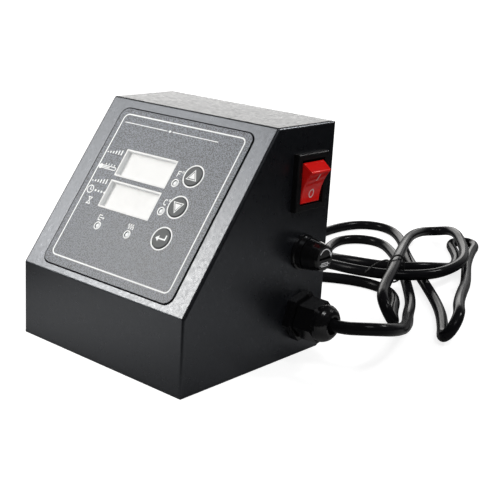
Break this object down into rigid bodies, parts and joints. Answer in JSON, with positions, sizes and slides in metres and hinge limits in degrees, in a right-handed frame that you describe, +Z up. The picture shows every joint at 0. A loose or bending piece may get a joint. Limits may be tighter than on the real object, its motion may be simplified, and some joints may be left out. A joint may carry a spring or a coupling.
{
  "type": "heat press controller",
  "caption": "Desk-top temperature and time controller for a small hand-held heat press: sloping keypad case with rocker switch, fuse holder and mains lead.",
  "frame": {"origin": "centre of the case's footprint, on the underside of the chassis base", "axes": "+X to the right as the user faces the keypad, +Y to the back, +Z up"},
  "size_m": [0.237, 0.3695, 0.1278],
  "materials": {
    "powder_coat": "satin, fine texture",
    "keypad_print": "fine matt",
    "key_face": "satin",
    "display_face": "smooth",
    "lamp_lens": "gloss",
    "circuit_board": "solder mask",
    "black_plastic": "gloss",
    "red_plastic": "gloss",
    "zinc_steel": "satin",
    "brass": "satin",
    "seal_rubber": "matt",
    "lead_pvc": "gloss",
    "tie_wire": "matt",
    "laminations": "matt",
    "coil_wrap": "satin",
    "fuse_glass": "clear",
    "blue_plastic": "gloss",
    "green_plastic": "satin",
    "hookup_wire": "satin",
    "ribbon_grey": "satin",
    "socket_metal": "gloss",
    "pin_metal": "gloss"
  },
  "bodies": {
    "controller": {"case": "powder_coat", "chassis": "powder_coat", "base_screws": "zinc_steel", "rear_screws": "zinc_steel", "clinch_nuts": "zinc_steel", "keypad_film": "keypad_print", "tact_up": "black_plastic", "tact_down": "black_plastic", "tact_set": "black_plastic", "display_upper": "display_face", "display_lower": "display_face", "lamp_fahrenheit": "lamp_lens", "lamp_celsius": "lamp_lens", "lamp_work": "lamp_lens", "lamp_output": "lamp_lens", "display_board": "circuit_board", "controller_chip": "black_plastic", "buzzer": "black_plastic", "display_posts": "brass", "board_posts": "brass", "board_screws": "zinc_steel", "switch_body": "black_plastic", "rocker_pin": "zinc_steel", "switch_blades": "brass", "fuse_body": "black_plastic", "fuse_nut": "black_plastic", "fuse_tags": "brass", "gland_body": "black_plastic", "gland_nut": "black_plastic", "gland_seal": "seal_rubber", "gland_locknut": "black_plastic", "lead_tail": "lead_pvc", "socket_shell": "socket_metal", "socket_insert": "black_plastic", "socket_pins": "pin_metal", "socket_nut": "socket_metal", "power_board": "circuit_board", "transformer_core": "laminations", "transformer_coil": "coil_wrap", "relay": "blue_plastic", "capacitor": "black_plastic", "terminal_block": "green_plastic", "earth_stud": "brass", "mains_wiring": "hookup_wire", "output_wiring": "hookup_wire", "ribbon_cable": "ribbon_grey", "power_lead": "lead_pvc", "lead_tie": "tie_wire", "plug_relief": "lead_pvc", "plug_body": "lead_pvc", "plug_blades": "pin_metal", "plug_earth_pin": "pin_metal"},
    "rocker": {"rocker": "red_plastic"},
    "up_key": {"key_up": "key_face"},
    "down_key": {"key_down": "key_face"},
    "set_key": {"key_set": "key_face"},
    "fuse": {"fuse_ends": "socket_metal", "fuse_glass": "fuse_glass", "fuse_clip": "brass"},
    "cap": {"fuse_cap": "black_plastic"}
  },
  "joints": [
    {"name": "rocker_hinge", "type": "hinge", "parent": "controller", "child": "rocker", "pos_m": [0.0599, 0.0342, 0.098], "axis": [0, -1, 0], "range_deg": [0, 40]},
    {"name": "up_press", "type": "slide", "parent": "controller", "child": "up_key", "axis": [0, 0.8055, -0.5927], "range_m": [0, 0.0003], "stiffness_N_per_m": 300, "springref_m": -0.001},
    {"name": "down_press", "type": "slide", "parent": "controller", "child": "down_key", "axis": [0, 0.8055, -0.5927], "range_m": [0, 0.0003], "stiffness_N_per_m": 300, "springref_m": -0.001},
    {"name": "set_press", "type": "slide", "parent": "controller", "child": "set_key", "axis": [0, 0.8055, -0.5927], "range_m": [0, 0.0003], "stiffness_N_per_m": 300, "springref_m": -0.001},
    {"name": "fuse_draw", "type": "slide", "parent": "controller", "child": "fuse", "axis": [1, 0, 0], "range_m": [0, 0.03]},
    {"name": "cap_turn", "type": "hinge", "parent": "fuse", "child": "cap", "pos_m": [0.0692, 0.0342, 0.059], "axis": [1, 0, 0], "range_deg": [0, 90]}
  ]
}
